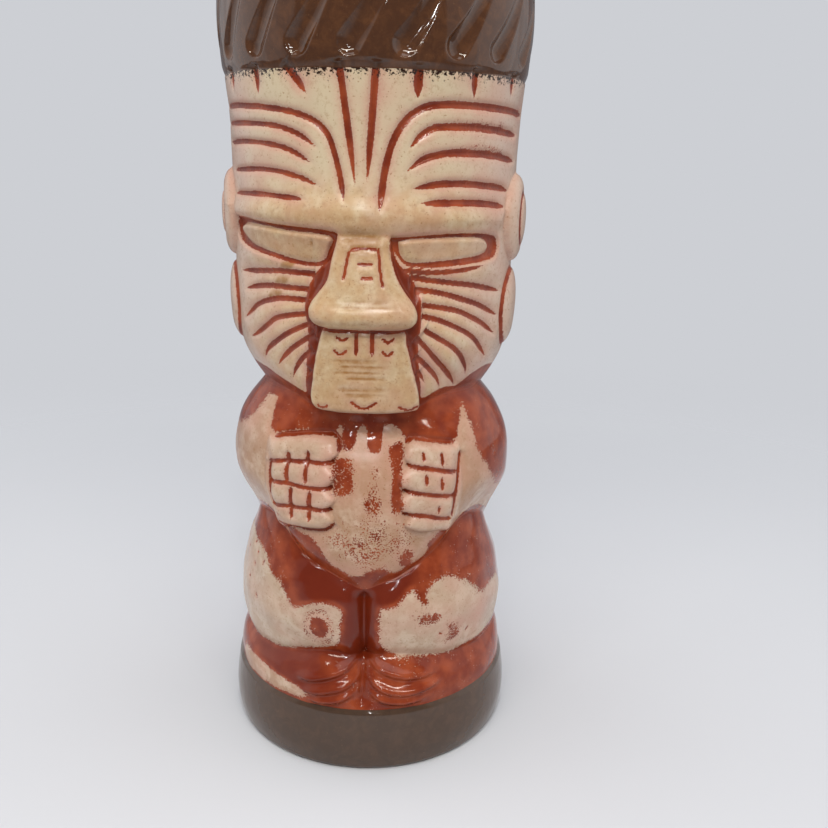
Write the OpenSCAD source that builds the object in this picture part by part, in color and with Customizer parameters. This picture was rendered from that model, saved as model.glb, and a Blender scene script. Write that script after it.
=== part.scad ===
// Tiki mug: a tall slip-cast cup shaped as a standing idol on a round plinth.
// The cup is a stack of turned walls, and the figure's features are raised on their skin.
// Angles go round the vertical axis from the face, which looks along -Y, towards +X.
// Left and right are the viewer's, looking at the face.

/* [Overall] */
// Diameter of the round plinth
plinth_d = 70; // [66:0.5:74]
// Height of the plinth
plinth_h = 16; // [14:0.5:18]
// Height of the feet and legs, from the plinth to the waist
legs_h = 35; // [33:0.5:38]
// Height of the torso, from the waist to the neck
torso_h = 38; // [36:0.5:41]
// Height of the head, from the neck to the rim band
head_h = 69; // [66:0.5:73]
// Height of the rim band
band_h = 20; // [18:0.5:23]

/* [Casting] */
// Thickness of the cast wall
wall = 4.2; // [3.6:0.1:4.8]
// Thickness of the cup's floor
floor_t = 5; // [4:0.5:7]

/* [Figure] */
// Diameter of the bare skin at the waist
waist_d = 58; // [56:0.5:60]
// Diameter of the bare skin at the belly
belly_d = 63; // [61:0.5:64]
// Diameter of the bare skin at the neck
neck_d = 54; // [52:0.5:56]
// Diameter of the bare skin at the cheeks
head_d = 64.4; // [63:0.2:66]
// Diameter of the rim band
band_d = 70.4; // [69:0.2:71.6]
// How far the legs stand out of the skin
leg_rise = 3.6; // [3:0.1:4]
// How far the arms stand out of the skin
arm_rise = 2.3; // [1.8:0.1:2.8]
// How far the fingers stand out of the skin
hand_rise = 2.6; // [2:0.1:3]
// How far the tip of the nose stands out of the skin
nose_rise = 5.4; // [4.5:0.1:6.2]
// How far the mouth plate stands out of the cheeks
mouth_rise = 1.9; // [1.4:0.1:2.6]
// How far the brow ridge stands out of the skin
brow_rise = 1.4; // [1:0.1:1.8]
// How far the upper ear stands out of the skin
ear_rise = 2.9; // [2.2:0.1:3.2]
// Depth of the eye sockets
socket_depth = 1.3; // [1:0.1:1.8]

/* [Carving] */
// Number of slanted gouges round the rim band
gouges = 20; // [16:1:24]
// Width of the forehead grooves
groove_w = 1.5; // [1.1:0.1:1.8]

/* [Hidden] */
$fn = 120;

// Heights where one wall ends and the next begins
waist_z = plinth_h + legs_h;
neck_z = waist_z + torso_h;
band_z = neck_z + head_h;
top_z = band_z + band_h;

// Bare skin as [height, radius] at each bulge and hollow, joined by smooth waves
skin_keys = [
    [plinth_h, belly_d / 2 - 1],
    [waist_z, waist_d / 2],
    [waist_z + 0.3 * torso_h, belly_d / 2],
    [neck_z - 0.3 * torso_h, belly_d / 2],
    [neck_z, neck_d / 2],
    [neck_z + 0.27 * head_h, head_d / 2],
    [neck_z + 0.75 * head_h, head_d / 2],
    [band_z, band_d / 2 - 1.6]
];
band_keys = [
    [band_z, band_d / 2 - 1.3],
    [band_z + 0.25 * band_h, band_d / 2 - 0.4],
    [band_z + 0.7 * band_h, band_d / 2],
    [top_z - 2.6, band_d / 2 - 0.2]
];
lip_r = 2.1;
ring_step = 1;

// The gouges' cutter: its largest radius, its length, its lean, and how far its centre is off the band
gouge_r = 2.6;
gouge_l = 12;
gouge_lean = 36;
gouge_out = 1.2;
gouge_from = -4;

foot_top = plinth_h + 0.34 * legs_h;
cleft = 2.5;
lip = 0.4;

// Levels on the face
chin_z = neck_z + 1.5;
nose_z = chin_z + 17;
brow_z = nose_z + 19;
brow_h = 5;
socket_h = 6.4;
socket_from = 9;
socket_to = 63;
pad_from = 13;
pad_to = 54;
pad_h = 4.4;
pad_rise = 0.8;

// Fingers
finger_h = 5.2;
fingers = 4;
hand_z = waist_z + 10;
hand_from = 8;
hand_to = 40;

cream = "#d9c0a6";
rust = "#96431f";
brown = "#4b2d17";
olive = "#55463a";

function polar(r, a, z) = [r * sin(a), -r * cos(a), z];
function mix(a, b, t) = a + (b - a) * t;
function ease(t) = (1 - cos(180 * t)) / 2;
// A smooth wave through [height, radius] keys
function wave(keys, z, i = 0) =
    i >= len(keys) - 2 || z <= keys[i + 1][0]
    ? mix(keys[i][1], keys[i + 1][1], ease(max(0, min(1, (z - keys[i][0]) / (keys[i + 1][0] - keys[i][0])))))
    : wave(keys, z, i + 1);
function skin_r(z) = wave(skin_keys, z);
function bore_r(z) = z > band_z ? wave(band_keys, z) - wall : skin_r(z) - wall;
// Falls from 1 in the middle of a strip to 0 at both edges; a high power keeps the middle flat
function crown(t, power) = sqrt(max(0, 1 - pow(abs(2 * t - 1), power)));
function levels(z0, z1) =
    let (n = ceil((z1 - z0) / ring_step)) [for (i = [0:n]) mix(z0, z1, i / n)];

// A turned wall from z0 to z1, with the skin outside and the bore inside
module turned_wall(z0, z1, keys) {
    outer = [for (z = levels(z0, z1)) [wave(keys, z), z]];
    inner = [for (z = levels(z0, z1)) [bore_r(z), z]];
    rotate_extrude() polygon(concat(outer, [for (i = [len(inner) - 1:-1:0]) inner[i]]));
}

// A raised piece that lies on the skin. u runs across it from angle near(v) to angle far(v), v runs
// up it from z0 to z1, and rise(u, v) is its height above the skin.
module relief(z0, z1, near, far, rise, cols, rows) {
    function place(i, j, up) =
        let (u = ease(i / cols), v = ease(j / rows), z = mix(z0, z1, v))
        polar(skin_r(z) + up * rise(u, v), mix(near(v), far(v), u), z);
    row = cols + 1;
    layer = row * (rows + 1);
    points = [for (up = [1, 0], j = [0:rows], i = [0:cols]) place(i, j, up)];
    skin_faces = [
        for (j = [0:rows - 1], i = [0:cols - 1])
        let (a = j * row + i)
        each [[a, a + row, a + 1], [a + 1, a + row, a + row + 1]]
    ];
    back_faces = [for (f = skin_faces) [f[2] + layer, f[1] + layer, f[0] + layer]];
    rim = concat(
        [for (i = [0:cols]) i],
        [for (j = [1:rows]) j * row + cols],
        [for (i = [cols - 1:-1:0]) rows * row + i],
        [for (j = [rows - 1:-1:1]) j * row]
    );
    rim_faces = [
        for (k = [0:len(rim) - 1])
        let (a = rim[k], b = rim[(k + 1) % len(rim)])
        each [[a, b, a + layer], [b, b + layer, a + layer]]
    ];
    polyhedron(points, concat(skin_faces, back_faces, rim_faces));
}

// The same piece on the viewer's right as it stands, or mirrored to the left
module on_side(side) {
    if (side < 0) mirror([1, 0, 0]) children();
    else children();
}

// A ring sector of a round groove or bead, centred on radius r at height z
module arc_bead(r, z, bead_r, from, to) {
    rotate([0, 0, from - 90]) rotate_extrude(angle = to - from) translate([r, z]) circle(bead_r, $fn = 24);
}

module arc_block(r0, r1, z0, z1, from, to) {
    rotate([0, 0, from - 90]) rotate_extrude(angle = to - from) translate([r0, z0]) square([r1 - r0, z1 - z0]);
}

module cup_floor() {
    color(cream) cylinder(h = floor_t, r = plinth_d / 2 - wall);
}

// The plinth is hollow too, and its bore narrows up to the bore of the legs
module base_plinth() {
    r = plinth_d / 2;
    color(olive) rotate_extrude() polygon([
        [r - wall, 0], [r - 0.6, 0], [r - 0.2, 0.3], [r, 0.9],
        [r, plinth_h - 1.2], [r - 0.3, plinth_h - 0.4], [r - 0.8, plinth_h],
        [bore_r(plinth_h), plinth_h], [r - wall, plinth_h - 4]
    ]);
}

module legs_wall() {
    color(rust) turned_wall(plinth_h, waist_z, skin_keys);
}

module torso_wall() {
    color(cream) turned_wall(waist_z, neck_z, skin_keys);
}

// The forehead's five lines on each side run level round the head
module forehead_lines() {
    line_z = [for (i = [0:4]) brow_z + brow_h + 1.6 + 4.7 * i];
    for (side = [-1, 1], i = [0:4])
        on_side(side)
        arc_bead(skin_r(line_z[i]) + groove_w / 4, line_z[i], groove_w / 2, 20 + 2 * i, 78);
}

// Two straight grooves run down the middle of the forehead
module centre_lines() {
    z0 = brow_z + brow_h + 5;
    for (side = [-1, 1])
        translate(polar(skin_r(z0) + groove_w / 4, 2.4 * side, z0))
        rotate([0, 8 * side, 0])
        cylinder(h = band_z - z0 - 1, d1 = groove_w * 0.7, d2 = groove_w * 1.2, $fn = 24);
}

module eye_sockets() {
    floor_r = skin_r(brow_z) - socket_depth;
    for (side = [-1, 1])
        on_side(side)
        arc_block(floor_r, head_d, brow_z - socket_h, brow_z, socket_from, socket_to);
}

module head_wall() {
    color(cream) difference() {
        turned_wall(neck_z, band_z, skin_keys);
        forehead_lines();
        centre_lines();
        eye_sockets();
    }
}

// A tear-drop cutter that leans across the band: round and widest at its lower end
module gouge() {
    rotate([0, gouge_lean, 0]) {
        sphere(gouge_r, $fn = 24);
        cylinder(h = gouge_l, r1 = gouge_r, r2 = 0.3 * gouge_r, $fn = 24);
    }
}

module rim_band() {
    outer = [for (z = levels(band_z, top_z - lip_r - 0.5)) [wave(band_keys, z), z]];
    inner = [for (z = levels(band_z, top_z - lip_r - 0.5)) [bore_r(z), z]];
    mid = wave(band_keys, top_z) - wall / 2;
    top = [for (a = [0:15:180]) [mid + wall / 2 * cos(a), top_z - lip_r + lip_r * sin(a)]];
    color(brown) difference() {
        rotate_extrude() polygon(concat(outer, top, [for (i = [len(inner) - 1:-1:0]) inner[i]]));
        for (i = [0:gouges - 1])
            rotate([0, 0, gouge_from + i * 360 / gouges])
            translate(polar(band_d / 2 + gouge_out, 0, band_z + 0.27 * band_h))
            gouge();
    }
}

// A foot wraps half of the mug: toes in front, heel behind
module foot(side) {
    color(rust) on_side(side) relief(
        plinth_h, foot_top,
        function (v) cleft, function (v) 180 - cleft,
        function (u, v) lip + (plinth_d / 2 - 1 - belly_d / 2 + 0.2 * v) * crown(u, 16) * (1 - 0.35 * v * v),
        30, 7
    );
}

// A squatting leg with its thigh round the side
module leg(side) {
    color(cream) on_side(side) relief(
        foot_top, waist_z,
        function (v) cleft, function (v) 180 - cleft,
        function (u, v) lip + (leg_rise - lip) * crown(u, 8) * crown(mix(0.24, 1, v), 2),
        30, 9
    );
}

// Shoulder, upper arm and forearm as one bend round the side
module arm(side) {
    color(cream) on_side(side) relief(
        waist_z + 4, neck_z - 2,
        function (v) mix(52, hand_to, crown(v, 2)), function (v) mix(132, 150, crown(v, 2)),
        function (u, v) lip + (arm_rise - lip) * crown(u, 8) * crown(v, 3),
        16, 10
    );
}

// Four fingers stacked on the belly, with the back of the hand behind them
module hand(side) {
    scallop = function (v) crown(v * fingers - floor(min(v * fingers, fingers - 0.001)), 4);
    color(cream) on_side(side) relief(
        hand_z, hand_z + finger_h * fingers,
        function (v) hand_from, function (v) hand_to,
        function (u, v) lip + (hand_rise - lip) * (0.55 + 0.45 * scallop(v)) * crown(mix(0.03, 0.6, u), 4),
        8, 28
    );
}

// The plate hangs straight down from the nose, so its chin stands clear of the neck
module mouth_plate() {
    plate_r = head_d / 2 + mouth_rise;
    color(cream) relief(
        chin_z, nose_z,
        function (v) mix(-21, -16, v), function (v) mix(21, 16, v),
        function (u, v)
            let (stand = plate_r - skin_r(mix(chin_z, nose_z, v)))
            lip + (stand - lip) * mix(0.7, 1, crown(u, 6)) * mix(0.75, 1, crown(mix(0, 0.5, v), 5)),
        12, 10
    );
}

// The nose widens downwards and is highest just above its tip
module nose() {
    color(cream) relief(
        nose_z, brow_z,
        function (v) -mix(19, 8, pow(v, 0.7)), function (v) mix(19, 8, pow(v, 0.7)),
        function (u, v) lip + (nose_rise - lip) * crown(u, 2.6) * crown(mix(0, 0.62, v), 3) * mix(1, 0.5, v),
        14, 12
    );
}

module brow_ridge() {
    color(cream) relief(
        brow_z, brow_z + brow_h,
        function (v) -socket_to, function (v) socket_to,
        function (u, v) lip + (brow_rise - lip) * crown(u, 4) * crown(v, 2),
        32, 5
    );
}

module eye(side) {
    floor_r = skin_r(brow_z) - socket_depth;
    low = brow_z - socket_h / 2 - pad_h / 2;
    color(cream) on_side(side)
        rotate([0, 0, pad_from - 90])
        rotate_extrude(angle = pad_to - pad_from)
        polygon([
            [floor_r, low], [floor_r + 0.5 * pad_rise, low], [floor_r + pad_rise, low + 0.8],
            [floor_r + pad_rise, low + pad_h - 0.8], [floor_r + 0.5 * pad_rise, low + pad_h], [floor_r, low + pad_h]
        ]);
}

// A large upper lobe over a smaller lower one
module ear(side) {
    split = 0.5;
    lobe = function (v) v > split ? crown((v - split) / (1 - split), 3) : 0.6 * crown(v / split, 3);
    color(cream) on_side(side) relief(
        neck_z + 0.15 * head_h, neck_z + 0.7 * head_h,
        function (v) mix(84, 67, lobe(v)), function (v) mix(90, 99, lobe(v)),
        function (u, v) lip + (ear_rise - lip) * crown(u, 3) * lobe(v),
        8, 24
    );
}

cup_floor();
base_plinth();
legs_wall();
torso_wall();
head_wall();
rim_band();
foot(-1);  // left_foot
foot(1);  // right_foot
leg(-1);  // left_leg
leg(1);  // right_leg
arm(-1);  // left_arm
arm(1);  // right_arm
hand(-1);  // left_hand
hand(1);  // right_hand
mouth_plate();
nose();
brow_ridge();
eye(-1);  // left_eye
eye(1);  // right_eye
ear(-1);  // left_ear
ear(1);  // right_ear
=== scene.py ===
"""Looks of the tiki mug: one glazed casting, its skin worked out as a height field round the axis.

Lengths are millimetres until a mesh is made, and angles are degrees from the face (-Y) towards +X.
Every piece is cut from the same lattice of points, so neighbours meet without a seam.
"""

import math

import bpy
import numpy as np
from mathutils import Matrix, Vector


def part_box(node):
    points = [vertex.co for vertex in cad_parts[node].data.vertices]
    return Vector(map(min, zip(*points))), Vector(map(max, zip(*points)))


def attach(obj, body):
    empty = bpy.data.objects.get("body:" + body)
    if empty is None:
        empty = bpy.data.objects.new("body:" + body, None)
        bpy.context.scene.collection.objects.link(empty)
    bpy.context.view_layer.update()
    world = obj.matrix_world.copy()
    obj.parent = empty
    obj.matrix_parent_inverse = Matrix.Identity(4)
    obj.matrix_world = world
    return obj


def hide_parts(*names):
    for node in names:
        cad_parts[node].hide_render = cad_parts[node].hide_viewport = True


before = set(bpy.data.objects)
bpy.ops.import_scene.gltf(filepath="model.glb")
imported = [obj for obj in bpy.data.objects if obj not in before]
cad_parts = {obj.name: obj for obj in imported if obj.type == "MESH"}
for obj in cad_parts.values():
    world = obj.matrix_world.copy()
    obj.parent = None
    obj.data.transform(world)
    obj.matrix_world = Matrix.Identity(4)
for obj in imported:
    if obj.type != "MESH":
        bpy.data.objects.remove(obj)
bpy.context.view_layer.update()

MM = 0.001
# A quick build has every second row and column
COARSE = 1


def top_of(node):
    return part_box(node)[1][2] / MM


def widest(node):
    low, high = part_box(node)
    return (high[0] - low[0]) / 2 / MM


# ---------------- sizes, from the frame
PLINTH_Z = top_of("base_plinth")
NECK_Z = top_of("torso_wall")
BAND_Z = top_of("head_wall")
TOP_Z = top_of("rim_band")
FLOOR_Z = top_of("cup_floor")
PLINTH_R = widest("base_plinth")
BAND_R = widest("rim_band")
WALL = PLINTH_R - widest("cup_floor")
LIP_R = WALL / 2
LIP_Z = TOP_Z - LIP_R
# The skin is drawn flat: this many millimetres along it for each degree round the axis
SKIN_PER_DEGREE = 33 * math.pi / 180


# ---------------- curves
def spline(x, keys):
    """A smooth curve through (x, y) keys, level beyond the ends."""
    xs = np.array([k[0] for k in keys], float)
    ys = np.array([k[1] for k in keys], float)
    slope = np.gradient(ys, xs)
    x = np.clip(x, xs[0], xs[-1])
    i = np.clip(np.searchsorted(xs, x) - 1, 0, len(xs) - 2)
    span = xs[i + 1] - xs[i]
    t = (x - xs[i]) / span
    return (
        ys[i] * (2 * t**3 - 3 * t**2 + 1)
        + ys[i + 1] * (3 * t**2 - 2 * t**3)
        + slope[i] * span * (t**3 - 2 * t**2 + t)
        + slope[i + 1] * span * (t**3 - t**2)
    )


def step(x, low, high):
    """Goes smoothly from 0 at low to 1 at high; low may be the larger."""
    t = np.clip((x - low) / (high - low), 0, 1)
    return t * t * (3 - 2 * t)


def dome(x):
    """Rises from 0 at x = 0 as a quarter circle to 1 at x = 1."""
    t = np.clip(x, 0, 1)
    return np.sqrt(1 - (1 - t) ** 2)


def bell(x, middle, width):
    """1 in the middle, fading to 0 at about twice the width to either side."""
    return np.exp(-(((x - middle) / width) ** 2))


def flowing(points, spacing=0.8):
    """Points along a Catmull-Rom curve through (angle, height) points, as flat millimetres."""
    p = np.array(points, float)
    p[:, 0] *= SKIN_PER_DEGREE
    ends = [2 * p[0] - p[1], *p, 2 * p[-1] - p[-2]]
    out = []
    for a, b, c, d in zip(ends, ends[1:], ends[2:], ends[3:]):
        n = max(1, int(np.hypot(*(c - b)) / spacing))
        t = (np.arange(n) / n)[:, None]
        out.append(
            0.5 * (2 * b + (c - a) * t + (2 * a - 5 * b + 4 * c - d) * t**2 + (3 * b - a - 3 * c + d) * t**3)
        )
    out.append(p[-1:])
    return np.concatenate(out)


# ---------------- the lattice
# Columns are half a degree apart this far to either side of the face, and a degree apart behind
FRONT_SPAN = 80
front = np.arange(-FRONT_SPAN, FRONT_SPAN, 0.5 * COARSE)
back = np.arange(FRONT_SPAN, 360 - FRONT_SPAN, 1.0 * COARSE)
ANGLE = np.concatenate([front, back])
ANGLE = np.where(ANGLE > 180, ANGLE - 360, ANGLE)
COLUMNS = len(ANGLE)
AROUND = np.abs(ANGLE)

# Heights of the creases between the zones, by angle
ANKLE = spline(AROUND, [(0, 27.5), (14, 28.6), (30, 27), (50, 25.2), (90, 25), (180, 26)])
WAIST = spline(
    ANGLE,
    [(-180, 54), (-120, 52), (-90, 53), (-75, 56.5), (-60, 59.3), (-50, 60), (-44, 59.5), (-34, 56),
     (-26, 52.6), (-14, 49.6), (-6, 47.5), (1, 46), (8, 47.2), (18, 49.2), (28, 52.5), (38, 56), (46, 59.3),
     (54, 60.2), (62, 59.5), (76, 56.5), (90, 53), (120, 52), (180, 54)],
)
NECK = NECK_Z + spline(AROUND, [(0, -1.6), (22, -1.4), (34, 0.8), (50, 2), (64, 1.8), (90, -0.4), (180, 0)])

ZONES = ["plinth", "feet", "legs", "torso", "head", "band"]
ZONE_EDGES = [0 * ANGLE, PLINTH_Z + 0 * ANGLE, ANKLE, WAIST, NECK, BAND_Z + 0 * ANGLE, LIP_Z + 0 * ANGLE]
ZONE_ROWS = [24, 34, 78, 112, 164, 60]

# Radius up each zone, as (share of the zone's height, radius), at the front, the sides and the back
PROFILES = {
    "feet": (
        [(0, 34.2), (0.3, 34.2), (0.7, 33), (1, 30.9)],
        [(0, 34.2), (0.4, 34.1), (0.8, 33.3), (1, 32.6)],
        [(0, 34.2), (0.4, 34), (0.8, 33), (1, 32.4)],
    ),
    "legs": (
        [(0, 30.9), (0.3, 32.6), (0.62, 33.1), (0.9, 32.2), (1, 31.2)],
        [(0, 32.6), (0.28, 33.7), (0.5, 33.1), (0.66, 32.2), (0.82, 30.8), (0.94, 29.4), (1, 28.8)],
        [(0, 32.4), (0.35, 34), (0.7, 33), (0.9, 31.6), (1, 30.8)],
    ),
    "torso": (
        [(0, 31.2), (0.08, 32.7), (0.24, 34), (0.45, 34.2), (0.64, 33.3), (0.78, 31.6), (0.9, 29.6),
         (1, 28.2)],
        [(0, 28.8), (0.1, 30.2), (0.2, 32), (0.31, 33.5), (0.42, 33.9), (0.6, 33.7), (0.76, 32.3),
         (0.88, 30), (1, 26.6)],
        [(0, 30.8), (0.1, 31.6), (0.3, 32.6), (0.6, 33), (0.85, 31), (1, 28.6)],
    ),
    "head": (
        [(0, 28.2), (0.06, 30.4), (0.13, 32.2), (0.24, 33), (0.4, 33), (0.5, 32.6), (0.58, 33.2),
         (0.74, 33), (0.88, 33.2), (1, 33.8)],
        [(0, 26.6), (0.05, 28.8), (0.11, 30.9), (0.17, 32), (0.25, 32.4), (0.5, 32.7), (0.8, 33),
         (0.91, 33.4), (1, 33.9)],
        [(0, 28.6), (0.08, 30.8), (0.2, 32.4), (0.5, 33.2), (0.8, 33), (1, 33.8)],
    ),
}

# How far the plinth and the band lie inside their widest radius, as (height from their foot, inset)
PLINTH_INSET = [(0, 0.6), (0.3, 0.2), (0.9, 0), (14.6, 0), (15.3, 0.12), (15.8, 0.45), (16, 0.8)]
BAND_INSET = [(0, 1.4), (1, 1), (3, 0.6), (6, 0.3), (11, 0), (18, 0.2)]

rows_height = []
rows_radius = []
zone_start = {}
for number, zone in enumerate(ZONES):
    low, high = ZONE_EDGES[number], ZONE_EDGES[number + 1]
    rows = ZONE_ROWS[number] // COARSE
    share = np.linspace(0, 1, rows + 1)[:, None] + 0 * ANGLE
    zone_start[zone] = sum(len(r) for r in rows_height)
    height = low + (high - low) * share
    if zone == "plinth":
        radius = PLINTH_R - spline(height, PLINTH_INSET)
    elif zone == "band":
        radius = BAND_R - spline(height - BAND_Z, BAND_INSET)
    else:
        turn = np.sin(np.radians(ANGLE)) ** 2
        ahead, beside, behind = (spline(share, keys) for keys in PROFILES[zone])
        radius = np.where(AROUND < 90, ahead, behind) * (1 - turn) + beside * turn
    # A zone's last round is the next zone's first
    keep = rows + 1 if zone == ZONES[-1] else rows
    rows_height.append(height[:keep])
    rows_radius.append(radius[:keep])
# From here on, every array has a row for each round of points and a column for each angle
Z = np.concatenate(rows_height)
R = np.concatenate(rows_radius)
T = 0 * Z + ANGLE
X = T * SKIN_PER_DEGREE
ROWS = len(T)

# How the glaze looks: rust from 0 (cream) to 1, or up to 1.5 where it pools in the grooves and where shade is
# painted in as darker rust; pink beside it; and cream darkened by age and by painted shade, or thick and pale
# below 0
RUST_AND_SHADE = np.zeros_like(R)
BLUSH = np.zeros_like(R)
AGED_AND_SHADE = np.zeros_like(R)


def deepen(array, value, at=np.s_[:]):
    """Makes an array at least this value there, or everywhere."""
    array[at] = np.maximum(array[at], value)


def cells(zone):
    """The rows of a zone's cells; cell i lies between rows i and i + 1 of the points."""
    following = ZONES.index(zone) + 1
    end = zone_start[ZONES[following]] if following < len(ZONES) else ROWS - 1
    return slice(zone_start[zone], end)


def in_zone(zone):
    """1 on a zone's rows."""
    mask = np.zeros_like(R)
    mask[cells(zone)] = 1
    return mask


FEET, LEGS, TORSO, HEAD = (in_zone(zone) for zone in ("feet", "legs", "torso", "head"))


# ---------------- drawing on the skin
def window(points, margin):
    """The part of the lattice near some flat points."""
    low, high = points.min(0) - margin, points.max(0) + margin
    rows = np.where((Z.max(1) > low[1]) & (Z.min(1) < high[1]))[0]
    columns = np.where((X[0] > low[0]) & (X[0] < high[0]))[0]
    return np.ix_(rows, columns)


def to_line(line, at):
    """Distance from the lattice points in a window to a line, and how far along it the nearest point is."""
    x, z = X[at], Z[at]
    best = np.full(x.shape, 1e9)
    along = np.zeros(x.shape)
    lengths = np.concatenate([[0], np.cumsum(np.hypot(*np.diff(line, axis=0).T))])
    for (x0, z0), (x1, z1), start in zip(line, line[1:], lengths):
        size = max(math.hypot(x1 - x0, z1 - z0), 1e-9)
        t = np.clip(((x - x0) * (x1 - x0) + (z - z0) * (z1 - z0)) / size**2, 0, 1)
        d = np.hypot(x - x0 - t * (x1 - x0), z - z0 - t * (z1 - z0))
        nearer = d < best
        best = np.where(nearer, d, best)
        along = np.where(nearer, start + t * size, along)
    return best, along / lengths[-1], lengths[-1]


def inside(points, margin=6):
    """Signed distance into a closed outline, in a window; positive inside."""
    line = flowing(list(points) + [points[0]])
    at = window(line, margin)
    distance, _, _ = to_line(line, at)
    x, z = X[at], Z[at]
    crossings = np.zeros(x.shape, int)
    for (x0, z0), (x1, z1) in zip(line, line[1:]):
        if z0 != z1:
            spans = (z0 > z) != (z1 > z)
            crossings += spans & (x < x0 + (z - z0) * (x1 - x0) / (z1 - z0))
    return np.where(crossings % 2 == 1, distance, -distance), at


def groove(points, width=1.5, depth=0.8, taper=(4, 4), rust=1.0, shoulder=0.3, aged_and_shade=0.0):
    """Carves a line with tapered ends and soft shoulders; the rust glaze pools in it and blushes beside it.

    Where age, and in one crease painted shade, darkens the line instead of rust, rust is 0 and aged_and_shade
    is how dark it is.
    """
    line = flowing(points)
    at = window(line, 4 * width)
    d, along, length = to_line(line, at)
    start, stop = taper
    ends = step(along * length, -0.3 * start, start) * step((1 - along) * length, -0.3 * stop, stop)
    half = width * (0.2 + 0.24 * ends)
    cut = np.exp(-((d / half) ** 2))
    R[at] -= depth * ends * (cut * (1 - shoulder) + shoulder * np.exp(-((d / (1.5 * width)) ** 2)))
    deepen(RUST_AND_SHADE, rust * np.minimum(2.6 * cut * (0.35 + 0.65 * ends) - 0.75, 1.12), at)
    deepen(BLUSH, rust * ends * np.exp(-((d / (0.85 * width)) ** 2)), at)
    deepen(AGED_AND_SHADE, aged_and_shade * ends * np.exp(-((d / (0.5 * width)) ** 2)), at)


def paint(points, value, soft=1.2, within=None):
    """Lays rust (1) or cream (0) glaze in an outline, with an edge this soft, on the zones within."""
    d, at = inside(points)
    share = step(d, -soft, soft)
    if within is not None:
        share = share * within[at]
        d = np.where(within[at] > 0, d, -99)
    RUST_AND_SHADE[at] += (value - RUST_AND_SHADE[at]) * share
    if value > 0.5:
        deepen(BLUSH, 0.8 * value * step(d, -2.5 * soft - 1, 0), at)
    elif value == 0:
        BLUSH[at] *= 1 - share


# ---------------- the figure
# The legs part at this angle, and this far to either side belongs to neither leg
CLEFT = 1.3
CLEFT_HALF = 1.5


def on_side(side, points):
    """Points drawn for the right side (1), or carried over to the left (-1)."""
    return [(side * a, z) for a, z in points]


# Outlines, as (angle, height) points that the curve runs through
NOSE = [
    (-8.4, 126), (-10.4, 121.5), (-12, 117), (-15, 114.5), (-18, 112), (-18.4, 110), (-16.8, 108),
    (-12, 107), (0, 106.8), (13.4, 106.8), (18, 107.6), (19.6, 109.5), (18.6, 112), (15.6, 114.5),
    (12.6, 117.5), (10.4, 121.5), (8.5, 126),
]
PLATE = [
    (-14, 107), (-16.8, 101), (-18.6, 95.5), (-19.6, 91.4), (-18, 89.2), (-13.4, 88.4), (1.6, 88.2),
    (17.6, 88.4), (22, 89.2), (22.2, 91.4), (20.8, 95), (18.6, 99), (16.4, 103.5), (13, 107),
]
LEFT_SOCKET = [
    (-65.4, 128.2), (-54, 128.2), (-42, 127.7), (-15, 127), (-8.6, 126), (-10, 123), (-13.4, 120.2),
    (-19, 119.2), (-27, 119.4), (-37, 120.4), (-50, 121.4), (-62, 122.8), (-65.8, 124.8),
]
LEFT_EYE = [
    (-60.6, 125.6), (-54, 127.1), (-30, 126.4), (-12.4, 125.7), (-12.2, 123.2), (-15, 120.7),
    (-22, 120.1), (-40, 121.6), (-54, 123),
]
RIGHT_SOCKET = [
    (7.5, 125.6), (14, 125.8), (25, 126.2), (35, 126.4), (46, 126.2), (54, 125.8), (60, 125),
    (61.8, 123.2), (60, 121), (53, 120.1), (42, 119.7), (30, 119.4), (20, 119.4), (15.2, 120.4),
    (11.6, 123),
]
RIGHT_EYE = [
    (13.2, 124.8), (20, 125.4), (39, 125.5), (51, 125), (55, 123.2), (51, 121.5), (30, 120.7),
    (19, 120.5), (14.6, 121.8),
]
BROW = [
    (-66, 129.5), (-64, 131.4), (-30, 131.8), (0, 131.6), (30, 131.4), (60, 130.8), (63, 129),
    (60, 127.2), (35, 127.4), (12, 126.6), (0, 126.2), (-12, 126.8), (-40, 127.8), (-64, 128),
]
EAR = [
    (70, 118.5), (66, 124), (66, 132), (71, 136.6), (81, 138), (91, 136.4), (96, 131), (96, 124),
    (91.5, 118.5), (91.5, 111), (89, 103), (84, 100), (75, 100), (69, 103), (67, 109), (67.5, 114.5),
]
LEFT_HAND = [
    (-40, 80.2), (-29, 81.2), (-19, 81.8), (-13, 81.8), (-10, 80.6), (-9.4, 78.8), (-12.6, 76.6),
    (-9.6, 74), (-12.6, 71.1), (-9.6, 68.6), (-12.8, 66.2), (-10, 63.8), (-13, 61.8), (-24, 60.9),
    (-40, 60.4),
]
RIGHT_HAND = [
    (40, 79.6), (26, 80.9), (20.5, 81.2), (18, 79.8), (17.4, 77.8), (19.4, 76.2), (15, 74), (15.4, 72),
    (18.4, 70.7), (15.2, 68.6), (15.8, 66.6), (19, 65), (17.2, 62.8), (22, 61.2), (30, 60.6), (40, 60.8),
]
BESIDE_NOSE = [
    (9, 125), (12.6, 121), (15.6, 119), (19.6, 116.6), (22, 113), (22.2, 108), (21.4, 104), (22.4, 98),
    (24.6, 92), (26, 87), (10, 87), (10, 112),
]
CHEST = [
    (-47, 93), (-43, 85.5), (-39.5, 81.4), (-28, 82), (-14, 82.6), (-6, 80), (4, 79), (14, 80), (20, 82),
    (38, 80.4), (42, 83.4), (49, 88.4), (53, 93),
]


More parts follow.
